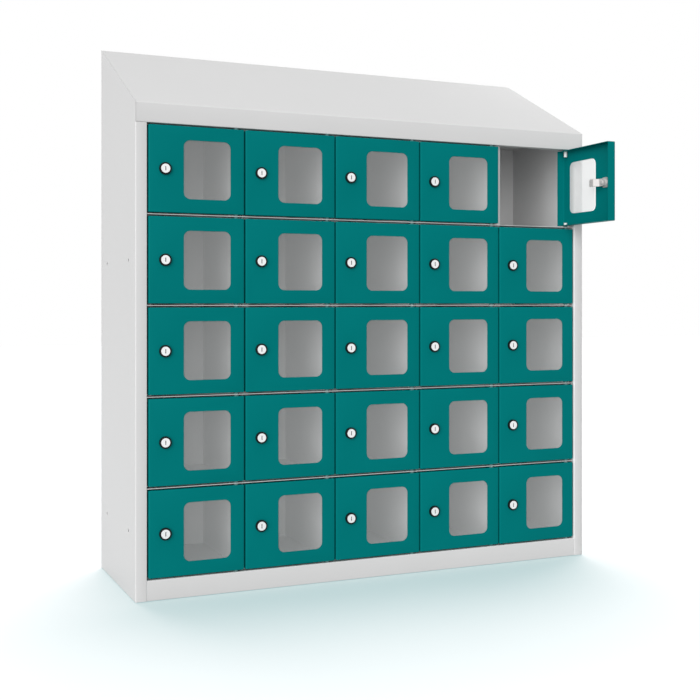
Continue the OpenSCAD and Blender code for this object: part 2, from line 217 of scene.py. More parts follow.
class StageSettings(bpy.types.PropertyGroup):
    lens: FloatProperty(name="Lens", description="Focal length", default=58.03, min=1.0, unit="CAMERA")
    sensor: FloatProperty(name="Sensor", description="Width of the sensor", default=36.0, unit="CAMERA")
    turn: FloatProperty(
        name="Turn", description="Angle off the front", default=math.radians(23.938), subtype="ANGLE"
    )
    shift: FloatProperty(name="Shift", description="Rise of the lens above the level view", default=-0.066)
    camera: FloatVectorProperty(
        name="Camera", description="Place of the camera", default=(-0.9369, -2.2694, 0.0845), subtype="XYZ"
    )
    floor_size: length("Floor size", "Side of the square floor", 24.0)
    floor_gap: length("Floor clearance", "Floor to the lowest edge of the cabinet", 1 * MM)
    sky: strength("Sky", "Light of the white surroundings", 0.32)
    key: strength("Key lamp", "Soft lamp at the front left", 2.45)
    side: strength("Side lamp", "Soft lamp at the left", 0.5)
    wall: strength("Wall lamp", "Key of the right side panel", 3.37)
    fill: strength("Fill lamp", "Soft lamp behind and to the right", 1.5)
    top: strength("Top lamp", "Soft lamp above", 0.5)
    overhead: strength("Floor lamp", "Soft lamp above the floor", 1.9)
    behind: strength("Rear floor lamp", "Draws the shadow forward", 4.2)
    floor: colour("Floor", "Paper of the floor", (0.40, 0.33, 0.33))
    # The glow is teal and the paper reddish, which gives the floor's shadow a painted teal tint.
    floor_glow: colour("Floor glow", "Light that fills the shadow on the floor", (0.30, 0.475, 0.485))


# Materials. The scale of a pattern is about its cycles in a metre.

PEEL = 620.0
GRIT = 2600.0
PAINT_CLOUD = 7.0
DRAWN_GRAIN = 900.0
PLATE_CLOUD = 160.0
SPANGLE = 110.0
SPANGLE_BEND = 90.0
PANE_HAZE = 40.0
PANE_IOR = 1.6

# How much lighter the paint is on the outside of a fold, partly thinner paint and partly a painted highlight,
# and how much darker inside it, as painted shade in the crease
FOLD_HIGHLIGHT_AND_SHADE = 0.06


def node_maker(tree):
    """Returns a function that adds a node to a tree, with its settings and its inputs' values or links."""

    def make(kind, inputs=None, **settings):
        node = tree.nodes.new(kind)
        for key, value in settings.items():
            setattr(node, key, value)
        for key, value in (inputs or {}).items():
            if isinstance(value, bpy.types.NodeSocket):
                tree.links.new(value, node.inputs[key])
            else:
                node.inputs[key].default_value = value
        return node

    return make


def maths(make, operation, *values, clamped=False):
    """The result of a Math node on values or links."""
    inputs = dict(enumerate(values))
    return make("ShaderNodeMath", inputs, operation=operation, use_clamp=clamped).outputs[0]


def scaled(make, tint, factor):
    """A colour times a factor."""
    return make("ShaderNodeVectorMath", {0: tint, "Scale": factor}, operation="SCALE").outputs[0]


def ranged(make, value, low, high):
    """A value between 0 and 1, laid out between two others."""
    return make("ShaderNodeMapRange", {"Value": value, "To Min": low, "To Max": high}).outputs[0]


def object_place(make):
    """A piece's own coordinates."""
    return make("ShaderNodeTexCoord").outputs["Object"]


def noise(make, place, scale, detail, roughness=0.5):
    """The outputs of a noise pattern."""
    inputs = {"Vector": place, "Scale": scale, "Detail": detail, "Roughness": roughness}
    return make("ShaderNodeTexNoise", inputs).outputs


def finish_group(name, values):
    """A node group that turns a colour and some named values into a colour, a roughness and a height."""
    tree = bpy.data.node_groups.new(name, "ShaderNodeTree")
    tree.interface.new_socket(name="Color", in_out="INPUT", socket_type="NodeSocketColor")
    for label, default in values.items():
        socket = tree.interface.new_socket(name=label, in_out="INPUT", socket_type="NodeSocketFloat")
        socket.default_value = default
    for label, kind in (("Color", "Color"), ("Roughness", "Float"), ("Height", "Float")):
        tree.interface.new_socket(name=label, in_out="OUTPUT", socket_type=f"NodeSocket{kind}")
    make = node_maker(tree)
    return tree, make, make("NodeGroupInput").outputs


def clouded(make, given, swing):
    """A group's colour, made lighter and darker by a value that swings round 0."""
    shade = maths(make, "MULTIPLY_ADD", swing, given["Clouding"], 1.0)
    return scaled(make, given["Color"], shade)


def powder_coat_group():
    """Orange peel, faint clouding, and paint lighter on the outside of folds (thinner paint and a painted
    highlight) and darker inside them (painted shade).
    """
    tree, make, given = finish_group(
        "powder_coat", {"Clouding": 0.03, "Thin Edges": FOLD_HIGHLIGHT_AND_SHADE, "Roughness": 0.42}
    )
    place = object_place(make)
    peel = noise(make, place, PEEL, detail=2.0, roughness=0.45)["Fac"]
    grit = noise(make, place, GRIT, detail=1.0)["Fac"]
    cloud = noise(make, place, PAINT_CLOUD, detail=3.0, roughness=0.55)["Fac"]
    level = make("ShaderNodeMapRange", {"Value": cloud, "From Min": 0.3, "From Max": 0.7}).outputs[0]
    swing = maths(make, "SUBTRACT", level, 0.5)
    # Painted light: the fold marks lighten the outside of folds, partly as thinner paint and partly as a
    # painted highlight, and darken the inside of folds as painted shade.
    folds = make("ShaderNodeAttribute", attribute_name="fold").outputs["Fac"]
    fold_highlight_and_shade = maths(make, "MULTIPLY_ADD", folds, given["Thin Edges"], 1.0)
    make("NodeGroupOutput", {
        "Color": scaled(make, clouded(make, given, swing), fold_highlight_and_shade),
        "Roughness": maths(make, "MULTIPLY_ADD", swing, 0.08, given["Roughness"]),
        "Height": maths(make, "MULTIPLY_ADD", grit, 0.25, peel),
    })
    return tree


def plated_group():
    """Fine drawn grain and clouded plating."""
    tree, make, given = finish_group("plated_metal", {"Clouding": 0.06, "Roughness": 0.3})
    place = object_place(make)
    drawn = make("ShaderNodeMapping", {"Vector": place, "Scale": (0.12, 1.0, 1.0)}).outputs[0]
    grain = noise(make, drawn, DRAWN_GRAIN, detail=3.0)["Fac"]
    cloud = noise(make, place, PLATE_CLOUD, detail=3.0)["Fac"]
    swing = maths(make, "SUBTRACT", cloud, 0.5)
    rough = maths(make, "SUBTRACT", grain, 0.5)
    make("NodeGroupOutput", {
        "Color": clouded(make, given, swing),
        "Roughness": maths(make, "MULTIPLY_ADD", rough, 0.22, given["Roughness"]),
        "Height": grain,
    })
    return tree


# The finishes made here. The frame has plain materials under the same names.
MATERIALS = {}


def new_material(name):
    """Makes an empty material and returns its node maker."""
    material = bpy.data.materials.new(name)
    material.use_nodes = True
    material.node_tree.nodes.clear()
    MATERIALS[name] = material
    return node_maker(material.node_tree)


def show(make, shader):
    """Links a shader to a material's surface."""
    make("ShaderNodeOutputMaterial", {"Surface": shader.outputs[0]})


def rgba(value):
    """A colour with full alpha."""
    return (*value, 1.0)


def grouped(name, group, values, shader, relief, height):
    """A material whose colour, roughness and bump come from a finish group. height is the bump's."""
    make = new_material(name)
    finish = make("ShaderNodeGroup", values, node_tree=group).outputs
    bump = make("ShaderNodeBump", {"Strength": relief, "Distance": height, "Height": finish["Height"]})
    show(make, make("ShaderNodeBsdfPrincipled", {
        "Base Color": finish["Color"],
        "Roughness": finish["Roughness"],
        "Normal": bump.outputs[0],
        **shader,
    }))


def painted(name, base, group, clouding, roughness, specular):
    """A powder coated surface."""
    values = {"Color": rgba(base), "Clouding": clouding, "Thin Edges": FOLD_HIGHLIGHT_AND_SHADE, "Roughness": roughness}
    grouped(name, group, values, {"Specular IOR Level": specular}, relief=0.35, height=0.12 * MM)


def metal(name, base, group, clouding, roughness, metallic):
    """A plated metal surface."""
    values = {"Color": rgba(base), "Clouding": clouding, "Roughness": roughness}
    grouped(name, group, values, {"Metallic": metallic}, relief=0.12, height=0.05 * MM)


def moulded(name, base, speckle, roughness, specular):
    """A moulded plastic with a fine spark-eroded texture."""
    make = new_material(name)
    texture = noise(make, object_place(make), speckle, detail=2.0)["Fac"]
    bump = make("ShaderNodeBump", {"Strength": 0.15, "Distance": 0.04 * MM, "Height": texture})
    show(make, make("ShaderNodeBsdfPrincipled", {
        "Base Color": scaled(make, base, ranged(make, texture, 0.9, 1.1)),
        "Roughness": ranged(make, texture, roughness - 0.06, roughness + 0.06),
        "Normal": bump.outputs[0],
        "Specular IOR Level": specular,
    }))


def galvanised(name, base):
    """Zinc spangle: crystals of slightly different shade and gloss."""
    make = new_material(name)
    place = object_place(make)
    bend = noise(make, place, SPANGLE_BEND, detail=2.0)["Color"]
    nudge = scaled(make, bend, 6 * MM)
    moved = make("ShaderNodeVectorMath", {0: place, 1: nudge}, operation="ADD").outputs[0]
    spangle = make("ShaderNodeTexVoronoi", {"Vector": moved, "Scale": SPANGLE}).outputs["Color"]
    crystal = make("ShaderNodeSeparateColor", {"Color": spangle}).outputs
    show(make, make("ShaderNodeBsdfPrincipled", {
        "Base Color": scaled(make, base, ranged(make, crystal[0], 0.86, 1.1)),
        "Roughness": ranged(make, crystal[1], 0.34, 0.52),
        "Metallic": 1.0,
    }))


def seen_rays(make):
    """1 for rays from the camera, mirrors and panes, and 0 for those that carry light."""
    path = make("ShaderNodeLightPath").outputs
    seen = maths(make, "MAXIMUM", path["Is Camera Ray"], path["Is Glossy Ray"])
    return maths(make, "MAXIMUM", seen, path["Is Transmission Ray"])


def seen_front(make):
    """1 where a seen ray meets the front of a face, and 0 at its back and for rays that carry light."""
    behind = make("ShaderNodeNewGeometry").outputs["Backfacing"]
    return maths(make, "SUBTRACT", seen_rays(make), behind, clamped=True)


def clear_pane(name, base, growth, least, most, mirror):
    """Clear plastic under a painted reflection: a pale veil that only seen rays meet, on the front of a face,
    and that light passes. It grows at low angles from least to most.
    """
    make = new_material(name)
    haze = noise(make, object_place(make), PANE_HAZE, detail=4.0)["Fac"]
    fresnel = make("ShaderNodeFresnel", {"IOR": PANE_IOR}).outputs[0]
    flat_on = ((PANE_IOR - 1) / (PANE_IOR + 1)) ** 2
    rise = maths(make, "SUBTRACT", fresnel, flat_on)
    # Painted reflection: a pale veil, stronger at low angles, standing in for the white surroundings mirrored
    # in the pane.
    reflection_veil = maths(make, "MINIMUM", maths(make, "MULTIPLY_ADD", rise, growth, least), most)
    show(make, make("ShaderNodeBsdfPrincipled", {
        "Base Color": rgba(base),
        "Metallic": mirror,
        "Roughness": ranged(make, haze, 0.04, 0.14),
        "Alpha": maths(make, "MULTIPLY", reflection_veil, seen_front(make)),
    }))


class LOCKER_OT_finishes(bpy.types.Operator):
    """Makes the paint, metal, plastic and pane finishes"""

    bl_idname = "locker.finishes"
    bl_label = "Finishes"

    def execute(self, context):
        tints = context.scene.locker_finishes
        coat, plate = powder_coat_group(), plated_group()
        painted("carcass_steel", tints.carcass, coat, clouding=0.025, roughness=0.46, specular=0.5)
        painted("door_paint", tints.door, coat, clouding=0.05, roughness=0.44, specular=0.025)
        metal("zinc", tints.zinc, plate, clouding=0.06, roughness=0.45, metallic=0.45)
        metal("dull_zinc", tints.dull_zinc, plate, clouding=0.08, roughness=0.55, metallic=0.3)
        galvanised("galvanised_steel", tints.galvanised)
        moulded("lock_collar", tints.collar, speckle=1500.0, roughness=0.32, specular=0.12)
        moulded("nylon", tints.nylon, speckle=900.0, roughness=0.5, specular=0.4)
        # Painted shade: the dark teal of the bush collars in the row gaps.
        moulded("gap_shade_nylon", tints.gap_shade_nylon, speckle=900.0, roughness=0.6, specular=0.1)
        # Painted shade inside the key slot.
        moulded("keyway_shade", tints.keyway_shade, speckle=2000.0, roughness=0.6, specular=0.2)
        # Painted reflections on the front and on the back of a window; the bonded rim has none.
        clear_pane("window_pane", tints.pane, growth=3.9, least=0.205, most=0.24, mirror=0.2)
        clear_pane("pane_inside_reflection", tints.pane_inside_reflection, growth=18.0, least=0.08, most=0.65, mirror=0.0)
        clear_pane("pane_rim", tints.pane, growth=0.0, least=0.0, most=0.0, mirror=0.0)
        return {"FINISHED"}


# Mesh tools. Points closer than WELD are one point, and normals whose product is over ALONG are parallel.
# Folds, creases in the shading and cut edges are sharper than the angles given here.

WELD = 1e-6
ALONG = 0.999
LEAST_FOLD = math.radians(12)
SHARP_EDGE = math.radians(35)
CUT_EDGE = math.radians(40)


def at(x, y, z):
    """A place, in metres."""
    return Vector((x, y, z))


def rectangle(x0, x1, low, high):
    """Corners of a rectangle from x0 to x1, between two edges that are given as (y, z)."""
    return [at(x0, *low), at(x1, *low), at(x1, *high), at(x0, *high)]


def ring(centre, radius, u, w, sides):
    """Points round a circle that u and w span."""
    turns = [2 * math.pi * k / sides for k in range(sides)]
    return [centre + radius * (math.cos(t) * u + math.sin(t) * w) for t in turns]


def quarter(steps):
    """Angles from 0 to 90 degrees."""
    return [math.pi / 2 * k / steps for k in range(steps + 1)]


def rounded_outline(centre, w, h, r, steps):
    """Points round an upright rectangle with round corners."""
    points = []
    for k, (side, end) in enumerate(((1, 1), (-1, 1), (-1, -1), (1, -1))):
        corner = centre + side * (w / 2 - r) * X + end * (h / 2 - r) * Z
        for t in quarter(steps):
            turn = math.pi / 2 * k + t
            points.append(corner + r * (math.cos(turn) * X + math.sin(turn) * Z))
    return points


def loop_edges(bm, points):
    """New closed loop of edges through the points."""
    verts = [bm.verts.new(p) for p in points]
    return [bm.edges.new(pair) for pair in zip(verts, verts[1:] + verts[:1])]


def turn_outwards(face, outward):
    """Turns a face so that its normal points outward, and gives it back."""
    face.normal_update()
    if face.normal.dot(outward) < 0:
        face.normal_flip()
    return face


def flat_face(bm, points, outward):
    """New flat face through the points."""
    return turn_outwards(bm.faces.new([bm.verts.new(p) for p in points]), outward)


def pierce(bm, face, outlines):
    """Cuts outlines out of a flat face and returns the edges of each hole."""
    normal = face.normal.copy()
    around = list(face.edges)
    bmesh.ops.delete(bm, geom=[face], context="FACES_ONLY")
    rims = [loop_edges(bm, points) for points in outlines]
    edges = around + [edge for rim in rims for edge in rim]
    bmesh.ops.triangle_fill(bm, use_beauty=True, use_dissolve=False, edges=edges, normal=normal)
    return rims


def face_towards(bm, direction):
    """The largest face whose normal lies along a direction."""
    facing = [f for f in bm.faces if f.normal.dot(direction) > ALONG]
    return max(facing, key=lambda f: f.calc_area())


def shift_new(bm, new, vec):
    """Moves the vertices of new geometry and returns its faces."""
    bmesh.ops.translate(bm, vec=vec, verts=[g for g in new if isinstance(g, bmesh.types.BMVert)])
    return [g for g in new if isinstance(g, bmesh.types.BMFace)]


def fold(bm, radius, sheet, segments=4):
    """Rounds the folds of a sheet: the radius where it bulges, and that less the sheet where it hollows."""
    bm.normal_update()
    # Bulging fold faces are marked 1 and hollow ones -1. The paint lightens the first (thinner paint and a
    # painted highlight) and darkens the second (painted shade in the crease).
    mark = bm.faces.layers.float.new("fold")
    for bulges, offset in ((True, radius), (False, radius - sheet)):
        folds = [e for e in bm.edges if len(e.link_faces) == 2 and e.calc_face_angle() > LEAST_FOLD]
        rounded = bmesh.ops.bevel(
            bm, geom=[e for e in folds if e.is_convex == bulges], offset=offset, offset_type="OFFSET",
            segments=segments, profile=0.5, affect="EDGES", clamp_overlap=True, material=-1,
        )["faces"]
        for face in rounded:
            face[mark] = 1.0 if bulges else -1.0
        bm.normal_update()


def ribbon(bm, path, drawn, outward):
    """A folded strip: a path drawn out along a vector. outward is the outer side of its first stretch."""
    verts = [bm.verts.new(p) for p in path]
    edges = [bm.edges.new(pair) for pair in zip(verts, verts[1:])]
    faces = shift_new(bm, bmesh.ops.extrude_edge_only(bm, edges=edges)["geom"], drawn)
    bm.normal_update()
    start = (path[0] + path[1] + drawn) / 2
    first = min(faces, key=lambda f: (f.calc_center_median() - start).length)
    if first.normal.dot(outward) < 0:
        bmesh.ops.reverse_faces(bm, faces=faces)
    bm.normal_update()


def lathe(bm, profile, centre, axis, sides):
    """Spins a profile of (radius, height) points once round an axis and welds its seam."""
    side = axis.orthogonal().normalized()
    verts = [bm.verts.new(centre + r * side + h * axis) for r, h in profile]
    edges = [bm.edges.new(pair) for pair in zip(verts, verts[1:])]
    bmesh.ops.spin(
        bm, geom=verts + edges, cent=centre, axis=axis, angle=2 * math.pi, steps=sides, use_merge=True
    )
    bmesh.ops.remove_doubles(bm, verts=bm.verts, dist=WELD)


def cap(bm, outward):
    """Closes the open end of a turned shape with a flat face."""
    rim = [e for e in bm.edges if e.is_boundary]
    return turn_outwards(bmesh.ops.contextual_create(bm, geom=rim)["faces"][0], outward)


def sink(bm, rim, depth, material_index=0):
    """Draws a hole's rim inwards and closes its floor."""
    new = bmesh.ops.extrude_edge_only(bm, edges=rim)["geom"]
    walls = shift_new(bm, new, depth)
    floor = [g for g in new if isinstance(g, bmesh.types.BMEdge) and len(g.link_faces) == 1]
    bottom = bmesh.ops.contextual_create(bm, geom=floor)["faces"]
    for face in walls + bottom:
        face.material_index = material_index


def solid(bm):
    """Welds a closed shape and turns its faces outwards."""
    bmesh.ops.remove_doubles(bm, verts=bm.verts, dist=WELD)
    bmesh.ops.recalc_face_normals(bm, faces=bm.faces)


def soften(piece, radius):
    """Rounds the sharp edges of a piece."""
    cut = piece.modifiers.new("cut_edges", "BEVEL")
    cut.width = radius
    cut.segments = 2
    cut.limit_method = "ANGLE"
    cut.angle_limit = CUT_EDGE
    cut.harden_normals = True


def thicken(piece, sheet, cut_radius):
    """Gives a sheet its thickness behind its outer face and rounds its cut edges."""
    wall = piece.modifiers.new("thickness", "SOLIDIFY")
    wall.thickness = sheet
    wall.offset = -1
    wall.use_even_offset = True
    soften(piece, cut_radius)


def add_piece(name, bm, body, slot_name, node, finishes=()):
    """Makes a piece of a bmesh, in its slot's finish or its own, to ride on a body in place of a CAD node."""
    mesh = bpy.data.meshes.new(name)
    bm.to_mesh(mesh)
    bm.free()
    for polygon in mesh.polygons:
        polygon.use_smooth = True
    mesh.set_sharp_from_angle(angle=SHARP_EDGE)
    for finish in finishes or [slot_name]:
        mesh.materials.append(MATERIALS[finish])
    piece = bpy.data.objects.new(name, mesh)
    bpy.context.scene.collection.objects.link(piece)
    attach(piece, body)
    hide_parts(node)
    return piece


def add_sheet(name, bm, settings, node):
    """Adds a piece of the carcass that is made of painted sheet."""
    thicken(add_piece(name, bm, "cabinet", "carcass_steel", node), SHEET, settings.cut_radius)


# The carcass


def pin_holes(level, radius):
    """Outlines of the hinge pin holes in a sheet at a level."""
    return [ring(at(x, PIN_Y, level), radius, X, Y, sides=20) for x in PIN_XS]


def bolt_holes(y, heights, radius):
    """Outlines of the wall bolt holes in an upright sheet."""
    return [ring(at(x, y, z), radius, X, Z, sides=28) for x in WALL_BOLT_XS for z in heights]


def side_panel(settings, node, outer, inwards, with_strike):
    """One folded sheet: web, strip beside the doors, return, wall flange and the strike lips."""
    bm = bmesh.new()
    inner = outer + inwards * STRIP_W
    flange_x = outer + inwards * settings.side_flange
    lip_x = inner + inwards * (GAP + settings.strike_overlap)
    strip_top = SOFFIT - settings.seam
    flange_top = TOP - settings.top_flange - settings.seam
    strike_y = FRONT + settings.strike_depth
    return_y = strike_y + SHEET
    side = inwards * X
    flat_face(bm, [
        at(outer, FRONT, BOTTOM),
        at(outer, FRONT, strip_top),
        at(outer, FRONT, SOFFIT),
        at(outer, FRONT, TOP - settings.top_rise),
        at(outer, WALL, TOP),
        at(outer, WALL, flange_top),
        at(outer, WALL, BOTTOM),
    ], -side)
    flat_face(bm, rectangle(outer, inner, (FRONT, BOTTOM), (FRONT, strip_top)), -Y)
    flat_face(bm, rectangle(outer, flange_x, (WALL, BOTTOM), (WALL, flange_top)), Y)
    rear = [at(inner, return_y, BOTTOM)]
    if with_strike:
        for floor, middle in zip(FLOORS, ROW_ZS):
            low, high = floor + settings.seam, middle + DOOR_H / 2
            rear += [
                at(inner, return_y, low),
                at(inner, strike_y, low),
                at(inner, strike_y, high),
                at(inner, return_y, high),
            ]
            flat_face(bm, rectangle(inner, lip_x, (strike_y, low), (strike_y, high)), -Y)
    rear.append(at(inner, return_y, strip_top))
    flat_face(bm, [at(inner, FRONT, BOTTOM), *rear, at(inner, FRONT, strip_top)], side)
    bmesh.ops.remove_doubles(bm, verts=bm.verts, dist=WELD)
    fold(bm, settings.fold_radius, SHEET)
    pierce(bm, face_towards(bm, -side), [
        ring(at(outer, y, z), settings.join_hole, Y, Z, sides=24)
        for y in (FRONT + settings.join_front, WALL - settings.join_rear)
        for z in (ROW_ZS[0], ROW_ZS[-2])
    ])
    add_sheet(node.replace("panel", "sheet"), bm, settings, node)


def level_outline(settings, level, front):
    """Outline of a level sheet: full width behind the returns, narrower between them."""
    behind = FRONT + settings.strike_depth + SHEET + settings.seam
    narrow = (LEFT + STRIP_W, RIGHT - STRIP_W)
    wide = (LEFT + SHEET, RIGHT - SHEET)
    places = [
        (narrow[0], front), (narrow[1], front), (narrow[1], behind), (wide[1], behind),
        (wide[1], BACK), (wide[0], BACK), (wide[0], behind), (narrow[0], behind),
    ]
    return [at(x, y, level) for x, y in places]


class LOCKER_OT_side_panels(bpy.types.Operator):
    """Folds the left and right side panel. The cams of the first column lock behind lips on the left one"""

    bl_idname = "locker.side_panels"
    bl_label = "Side panels"

    def execute(self, context):
        settings = context.scene.locker_carcass
        side_panel(settings, "left_side_panel", LEFT, 1, with_strike=True)
        side_panel(settings, "right_side_panel", RIGHT, -1, with_strike=False)
        return {"FINISHED"}


class LOCKER_OT_top_cover(bpy.types.Operator):
    """Folds the soffit, fascia, slope and rear flange from one sheet"""

    bl_idname = "locker.top_cover"
    bl_label = "Top cover"

    def execute(self, context):
        settings = context.scene.locker_carcass
        bm = bmesh.new()
        low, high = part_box("top_cover")
        path = [
            at(low.x, FRONT + SOFFIT_DEPTH, SOFFIT),
            at(low.x, FRONT, SOFFIT),
            at(low.x, FRONT, TOP - settings.top_rise),
            at(low.x, WALL, TOP),
            at(low.x, WALL, TOP - settings.top_flange),
        ]
        ribbon(bm, path, (high.x - low.x) * X, -Z)
        fold(bm, settings.fold_radius, SHEET)
        pierce(bm, face_towards(bm, -Z), pin_holes(SOFFIT, settings.pin_hole))
        add_sheet("top_sheet", bm, settings, "top_cover")
        return {"FINISHED"}


class LOCKER_OT_base_panel(bpy.types.Operator):
    """Folds the lowest floor, with the front rail, the flange below it and a rear flange"""

    bl_idname = "locker.base_panel"
    bl_label = "Base panel"

    def execute(self, context):
        settings = context.scene.locker_carcass
        bm = bmesh.new()
        floor = FLOORS[0]
        outline = level_outline(settings, floor, FRONT)
        flat_face(bm, outline, Z)
        narrow = (outline[0].x, outline[1].x)
        wide = (outline[5].x, outline[4].x)
        flange_y = FRONT + settings.base_flange
        for (x0, x1), low, high, outward in (
            (narrow, (FRONT, BOTTOM), (FRONT, floor), -Y),
            (narrow, (flange_y, BOTTOM), (FRONT, BOTTOM), -Z),
            (wide, (BACK, BOTTOM), (BACK, floor), Y),
        ):
            flat_face(bm, rectangle(x0, x1, low, high), outward)
        bmesh.ops.remove_doubles(bm, verts=bm.verts, dist=WELD)
        fold(bm, settings.fold_radius, SHEET)
        pierce(bm, face_towards(bm, Z), pin_holes(floor, settings.pin_hole))
        add_sheet("base_sheet", bm, settings, "base_panel")
        return {"FINISHED"}


class LOCKER_OT_back_panel(bpy.types.Operator):
    """Cuts the flat sheet behind all compartments, with the wall bolt holes"""

    bl_idname = "locker.back_panel"
    bl_label = "Back panel"

    def execute(self, context):
        settings = context.scene.locker_carcass
        bm = bmesh.new()
        low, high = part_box("back_panel")
        face = flat_face(bm, rectangle(low.x, high.x, (BACK, low.z), (BACK, high.z)), -Y)
        pierce(bm, face, bolt_holes(BACK, WALL_BOLT_ZS, settings.bolt_hole))
        add_sheet("back_sheet", bm, settings, "back_panel")
        return {"FINISHED"}


class LOCKER_OT_ceiling_panel(bpy.types.Operator):
    """Cuts the level sheet above the top row"""

    bl_idname = "locker.ceiling_panel"
    bl_label = "Ceiling panel"

    def execute(self, context):
        bm = bmesh.new()
        low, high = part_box("ceiling_panel")
        flat_face(bm, rectangle(low.x, high.x, (low.y, high.z), (high.y, high.z)), Z)
        add_sheet("ceiling_sheet", bm, context.scene.locker_carcass, "ceiling_panel")
        return {"FINISHED"}


class LOCKER_OT_wall_rails(bpy.types.Operator):
    """Folds the two hat channels on the back panel that take the wall bolts"""

    bl_idname = "locker.wall_rails"
    bl_label = "Wall rails"

    def execute(self, context):
        settings, rails = context.scene.locker_carcass, context.scene.locker_rails
        bm = bmesh.new()
        low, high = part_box("wall_rails")
        foot_y = low.y + rails.sheet
        half = rails.face / 2
        for z in WALL_BOLT_ZS:
            places = [
                (foot_y, -half - rails.foot), (foot_y, -half), (WALL, -half),
                (WALL, half), (foot_y, half), (foot_y, half + rails.foot),
            ]
            ribbon(bm, [at(low.x, y, z + rise) for y, rise in places], (high.x - low.x) * X, Y)
        fold(bm, rails.fold_radius, rails.sheet)
        for z in WALL_BOLT_ZS:
            faces = [
                f for f in bm.faces
                if f.normal.y > ALONG and abs(f.calc_center_median().z - z) < half / 2
            ]
            pierce(bm, faces[0], bolt_holes(WALL, [z], settings.bolt_hole))
        piece = add_piece("hat_rails", bm, "cabinet", "galvanised_steel", "wall_rails")
        thicken(piece, rails.sheet, settings.cut_radius)
        return {"FINISHED"}


class LOCKER_OT_shelves(bpy.types.Operator):
    """Cuts the level sheets between the rows"""

    bl_idname = "locker.shelves"
    bl_label = "Shelves"

    def execute(self, context):
        settings = context.scene.locker_carcass
        bm = bmesh.new()
        for floor in FLOORS[1:]:
            face = flat_face(bm, level_outline(settings, floor, FRONT + SHEET), Z)
            pierce(bm, face, pin_holes(floor, settings.pin_hole))
        add_sheet("shelf_sheets", bm, settings, "shelves")
        return {"FINISHED"}


class LOCKER_OT_dividers(bpy.types.Operator):
    """Folds the uprights between the columns, one for each row, with a strike lip and a weld flange"""

    bl_idname = "locker.dividers"
    bl_label = "Dividers"

    def execute(self, context):
        settings = context.scene.locker_carcass
        bm = bmesh.new()
        strike_y = FRONT + settings.strike_depth
        for pin_x in PIN_XS[:-1]:
            middle = pin_x + HINGE_EDGE + GAP / 2
            web_x = middle - SHEET / 2
            lip_x = middle + GAP / 2 + settings.strike_overlap
            flange_x = middle + SHEET / 2 + settings.divider_flange
            for floor, roof in zip(FLOORS, ROOFS):
                path = [
                    at(lip_x, strike_y, floor),
                    at(web_x, strike_y, floor),
                    at(web_x, BACK, floor),
                    at(flange_x, BACK, floor),
                ]
                ribbon(bm, path, (roof - floor) * Z, -Y)
        fold(bm, settings.fold_radius, SHEET)
        add_sheet("divider_sheets", bm, settings, "dividers")
        return {"FINISHED"}


class LOCKER_OT_hinge_pins(bpy.types.Operator):
    """Turns a pin with chamfered ends for each sheet at each column"""

    bl_idname = "locker.hinge_pins"
    bl_label = "Hinge pins"

    def execute(self, context):
        hinges = context.scene.locker_hinges
        bm = bmesh.new()
        tip = hinges.pin_r / 5
        levels = [z - SHEET for z in FLOORS] + [SOFFIT]
        for k, level in enumerate(levels):
            low = -(hinges.pin_stub if k == 0 else GAP + hinges.upper_l)
            high = SHEET + (hinges.pin_stub if k == len(levels) - 1 else GAP + hinges.lower_l)
            profile = [
                (0, low), (hinges.pin_r - tip, low), (hinges.pin_r, low + tip),
                (hinges.pin_r, high - tip), (hinges.pin_r - tip, high), (0, high),
            ]
            for x in PIN_XS:
                lathe(bm, profile, at(x, PIN_Y, level), Z, sides=20)
        solid(bm)
        add_piece("pins", bm, "cabinet", "zinc", "hinge_pins")
        return {"FINISHED"}


# Doors and locks. Each shape is made round the door's pin axis, level with the door's middle, with the
# door closed. Copies of it then go to where the doors hang at rest.


def door_place(door):
    """Where a door hangs at rest. Its joint's lower limit is the closed door."""
    joint = HINGES[door]
    turned = Matrix.Rotation(-math.radians(joint["range_deg"][0]), 4, "Z")
    return Matrix.Translation(joint["pos_m"]) @ turned


def add_to_each(joints, label, bm, slot_name, finishes=()):
    """Adds a copy of a shape to each door or each lock, and returns the pieces."""
    pieces = []
    for body, joint in joints.items():
        copy = bm.copy()
        door = body if body in HINGES else joint["parent"]
        bmesh.ops.transform(copy, matrix=door_place(door), verts=copy.verts)
        pieces.append(add_piece(f"{body}_{label}", copy, body, slot_name, body, finishes))
    bm.free()
    return pieces


def window_middle(doors, y):
    """Middle of the window, at a depth."""
    return at(HINGE_EDGE - doors.window_margin - doors.window_w / 2, y, 0)


def window_outline(doors, y):
    """Outline of the window, at a depth."""
    middle = window_middle(doors, y)
    return rounded_outline(middle, doors.window_w, doors.window_h, doors.window_r, steps=10)


class LOCKER_OT_door_pans(bpy.types.Operator):
    """Draws a shallow tray for each door, with a window, a lock hole and a hole for each bush"""

    bl_idname = "locker.door_pans"
    bl_label = "Door pans"

    def execute(self, context):
        scene = context.scene
        doors, hinges, locks = scene.locker_doors, scene.locker_hinges, scene.locker_locks
        bm = bmesh.new()
        size = Matrix.Diagonal((DOOR_W, SOFFIT_DEPTH, DOOR_H, 1))
        middle = at((HINGE_EDGE + LOCK_EDGE) / 2, FACE + SOFFIT_DEPTH / 2, 0)
        bmesh.ops.create_cube(bm, size=1, matrix=Matrix.Translation(middle) @ size)
        bm.normal_update()
        bmesh.ops.delete(bm, geom=[face_towards(bm, Y)], context="FACES_ONLY")
        fold(bm, doors.fold_radius, SHEET)
        lock_hole = ring(at(LOCK_X, FACE, 0), locks.barrel_r + hinges.fit, X, Z, sides=32)
        pierce(bm, face_towards(bm, -Y), [window_outline(doors, FACE), lock_hole])
        for end in (-1, 1):
            bush_hole = ring(at(0, 0, end * DOOR_H / 2), hinges.bush_r + hinges.fit, X, Y, sides=24)
            pierce(bm, face_towards(bm, end * Z), [bush_hole])
        for piece in add_to_each(HINGES, "pan", bm, "door_paint"):
            thicken(piece, SHEET, scene.locker_carcass.cut_radius)
        return {"FINISHED"}


